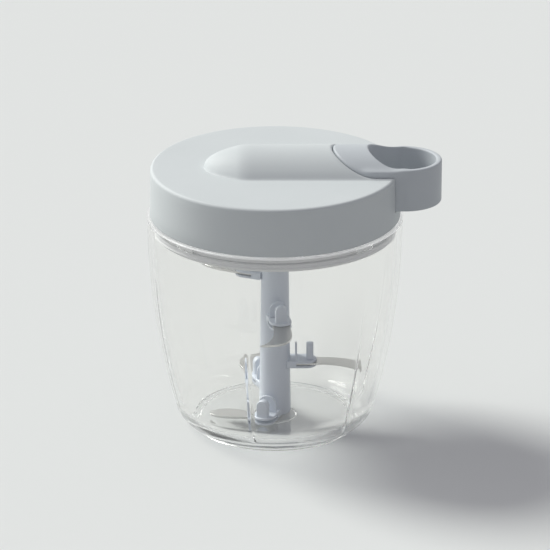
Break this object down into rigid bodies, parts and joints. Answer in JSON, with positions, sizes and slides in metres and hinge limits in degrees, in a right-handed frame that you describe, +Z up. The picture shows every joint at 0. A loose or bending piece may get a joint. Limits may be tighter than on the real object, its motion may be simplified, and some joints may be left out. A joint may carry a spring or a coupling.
{
  "type": "hand food chopper",
  "caption": "Hand food chopper: clear ribbed bowl, bladed spindle, and a lid whose docked finger ring pulls a cord to spin the blades.",
  "frame": {"origin": "centre of the bowl's underside, at the table", "axes": "+Z up along the bowl's axis, +X the way the handle pulls out, -Y the side towards the camera"},
  "size_m": [0.1242, 0.108, 0.1242],
  "materials": {
    "clear_plastic": "clear polished plastic",
    "lid_plastic": "satin moulded plastic",
    "grip_plastic": "satin moulded plastic",
    "shaft_plastic": "satin moulded plastic",
    "works_plastic": "plain moulded plastic",
    "blade_steel": "brushed stainless steel",
    "pin_steel": "plain steel",
    "seal_rubber": "soft matt",
    "cord": "braided cord"
  },
  "bodies": {
    "bowl": {"bowl": "clear_plastic", "centre_pin": "pin_steel"},
    "lid": {"lid_housing": "lid_plastic", "lid_base": "lid_plastic", "seal_ring": "seal_rubber", "lid_screw_1": "pin_steel", "lid_screw_2": "pin_steel", "lid_screw_3": "pin_steel", "lid_screw_4": "pin_steel", "base_bush": "works_plastic", "cord_guide": "pin_steel", "recoil_spring": "pin_steel", "coupler_screw": "pin_steel"},
    "handle": {"pull_handle": "grip_plastic", "handle_plate": "grip_plastic", "cord_knot": "cord", "pull_cord": "cord"},
    "spool": {"spool": "works_plastic", "spring_cover": "works_plastic", "cord_winding": "cord", "drive_coupler": "works_plastic"},
    "spindle": {"spindle": "shaft_plastic", "spindle_bush": "works_plastic", "blade_1": "blade_steel", "blade_2": "blade_steel", "blade_3": "blade_steel", "blade_4": "blade_steel", "blade_5": "blade_steel"}
  },
  "joints": [
    {"name": "lid_lift", "type": "slide", "parent": "bowl", "child": "lid", "axis": [0, 0, 1], "range_m": [0, 0.12]},
    {"name": "handle_pull", "type": "slide", "parent": "lid", "child": "handle", "axis": [1, 0, 0], "range_m": [0, 0.32], "stiffness_N_per_m": 8, "springref_m": -0.4, "deforming": ["pull_cord"]},
    {"name": "spool_spin", "type": "hinge", "parent": "lid", "child": "spool", "pos_m": [0, 0, 0.1], "axis": [0, 0, 1], "continuous": true, "deforming": ["recoil_spring"]},
    {"name": "spindle_spin", "type": "hinge", "parent": "bowl", "child": "spindle", "pos_m": [0, 0, 0.05], "axis": [0, 0, 1], "continuous": true}
  ],
  "couplings": [
    {"joint": "spool_spin", "follows": "handle_pull", "rad_per_m": 68.966},
    {"joint": "spindle_spin", "follows": "handle_pull", "rad_per_m": 68.966}
  ]
}
